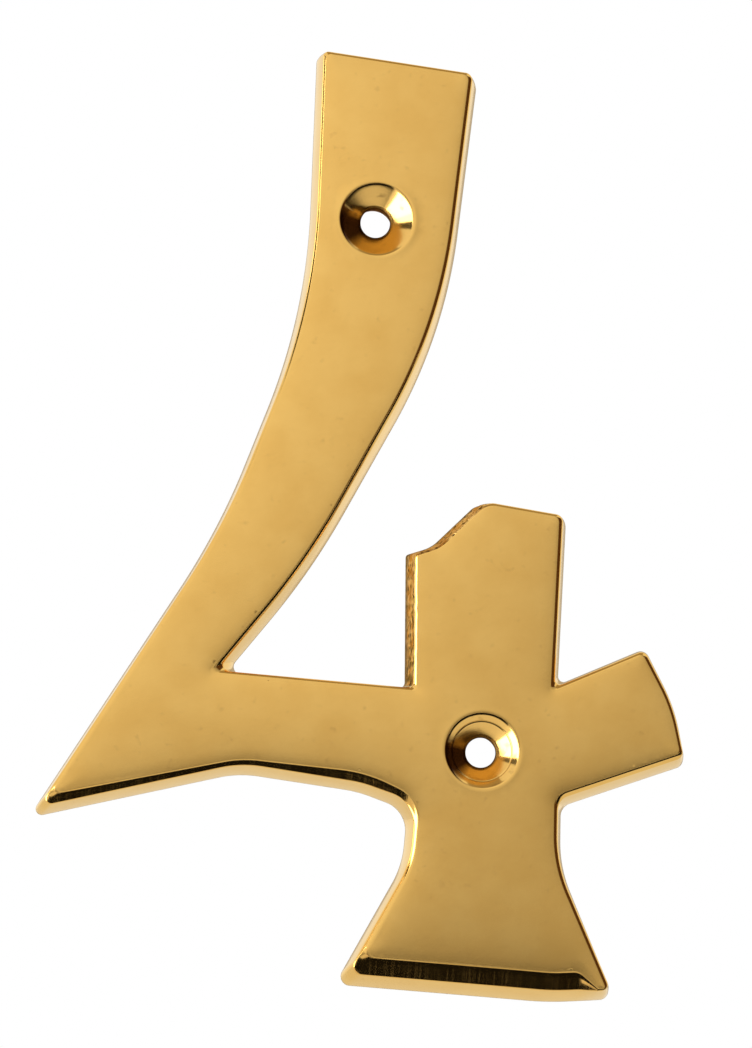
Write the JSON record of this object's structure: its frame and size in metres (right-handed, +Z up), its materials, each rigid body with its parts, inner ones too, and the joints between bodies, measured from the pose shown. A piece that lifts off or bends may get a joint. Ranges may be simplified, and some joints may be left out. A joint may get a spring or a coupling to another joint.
{
  "type": "door number",
  "caption": "Cast brass house numeral four with an open top: long curved diagonal stroke, pointed cross-bar, flared arm and foot, flat back and countersunk screw holes.",
  "frame": {"origin": "on the flat back, halfway between the axes of the two screw holes", "axes": "+Z up the figure, +Y out of the flat back towards the door, the polished face looks along -Y, +X to the reader's right"},
  "size_m": [0.052, 0.004, 0.0763],
  "materials": {
    "brass": "polished face and front edge, as-cast side walls"
  },
  "bodies": {
    "root": {"door_number": "brass"}
  },
  "joints": []
}
